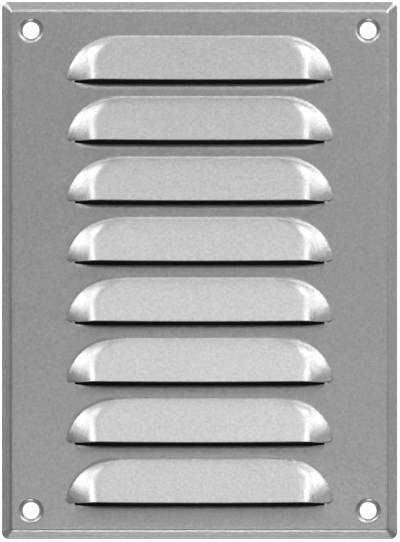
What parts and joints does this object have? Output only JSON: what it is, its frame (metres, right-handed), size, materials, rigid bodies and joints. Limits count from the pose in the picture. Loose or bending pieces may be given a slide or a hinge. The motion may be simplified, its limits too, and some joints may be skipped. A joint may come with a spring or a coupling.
{
  "type": "louvred sheet metal panel",
  "caption": "Rectangular vent panel pressed from sheet metal, with a column of hooded louvres, a bevelled rim and countersunk screw holes in its corners.",
  "frame": {"origin": "middle of the flat foot of the rim, in the plane that meets the wall", "axes": "+Z out of the front, +Y up when the panel hangs on a wall with its louvre mouths facing down, +X to the right"},
  "size_m": [0.1474, 0.2, 0.0089],
  "materials": {
    "zinc_sheet": "galvanised sheet, satin, finely mottled"
  },
  "bodies": {
    "root": {"louvred_panel": "zinc_sheet"}
  },
  "joints": []
}
